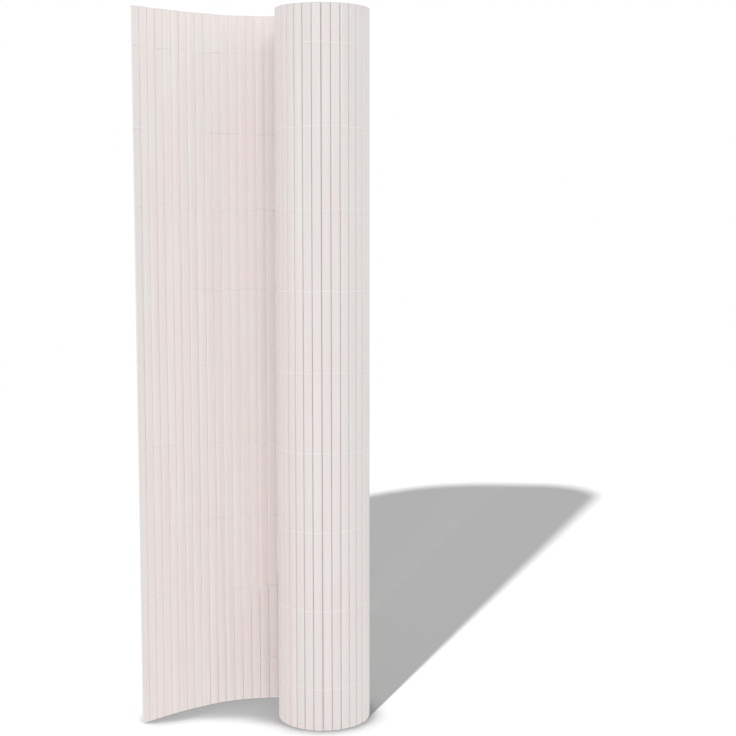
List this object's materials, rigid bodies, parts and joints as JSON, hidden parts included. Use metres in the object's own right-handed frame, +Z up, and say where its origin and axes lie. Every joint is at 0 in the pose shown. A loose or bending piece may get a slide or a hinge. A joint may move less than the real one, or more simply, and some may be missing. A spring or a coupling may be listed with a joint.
{
  "type": "rolled slat fence mat",
  "caption": "Privacy mat of upright hollow plastic slats bound by rows of twine, rolled up and standing on end with its free end let out.",
  "frame": {"origin": "middle of the footprint, on the ground", "axes": "+Z up along the slats, -Y towards the front of the roll, -X towards the free end"},
  "size_m": [0.2868, 0.1204, 0.9],
  "materials": {
    "slat_pvc": "satin",
    "twine": "matte"
  },
  "bodies": {
    "root": {"slat_01": "slat_pvc", "slat_02": "slat_pvc", "slat_03": "slat_pvc", "slat_04": "slat_pvc", "slat_05": "slat_pvc", "slat_06": "slat_pvc", "slat_07": "slat_pvc", "slat_08": "slat_pvc", "slat_09": "slat_pvc", "slat_10": "slat_pvc", "slat_11": "slat_pvc", "slat_12": "slat_pvc", "slat_13": "slat_pvc", "slat_14": "slat_pvc", "slat_15": "slat_pvc", "slat_16": "slat_pvc", "slat_17": "slat_pvc", "slat_18": "slat_pvc", "slat_19": "slat_pvc", "slat_20": "slat_pvc", "slat_21": "slat_pvc", "slat_22": "slat_pvc", "slat_23": "slat_pvc", "slat_24": "slat_pvc", "slat_25": "slat_pvc", "slat_26": "slat_pvc", "slat_27": "slat_pvc", "slat_28": "slat_pvc", "slat_29": "slat_pvc", "slat_30": "slat_pvc", "slat_31": "slat_pvc", "slat_32": "slat_pvc", "slat_33": "slat_pvc", "slat_34": "slat_pvc", "slat_35": "slat_pvc", "slat_36": "slat_pvc", "slat_37": "slat_pvc", "slat_38": "slat_pvc", "slat_39": "slat_pvc", "slat_40": "slat_pvc", "slat_41": "slat_pvc", "slat_42": "slat_pvc", "slat_43": "slat_pvc", "slat_44": "slat_pvc", "slat_45": "slat_pvc", "slat_46": "slat_pvc", "slat_47": "slat_pvc", "slat_48": "slat_pvc", "slat_49": "slat_pvc", "slat_50": "slat_pvc", "inner_turns": "slat_pvc", "thread_row_1": "twine", "thread_row_2": "twine", "thread_row_3": "twine", "thread_row_4": "twine", "thread_row_5": "twine", "thread_row_6": "twine", "thread_row_7": "twine", "thread_row_8": "twine", "thread_row_9": "twine"}
  },
  "joints": []
}
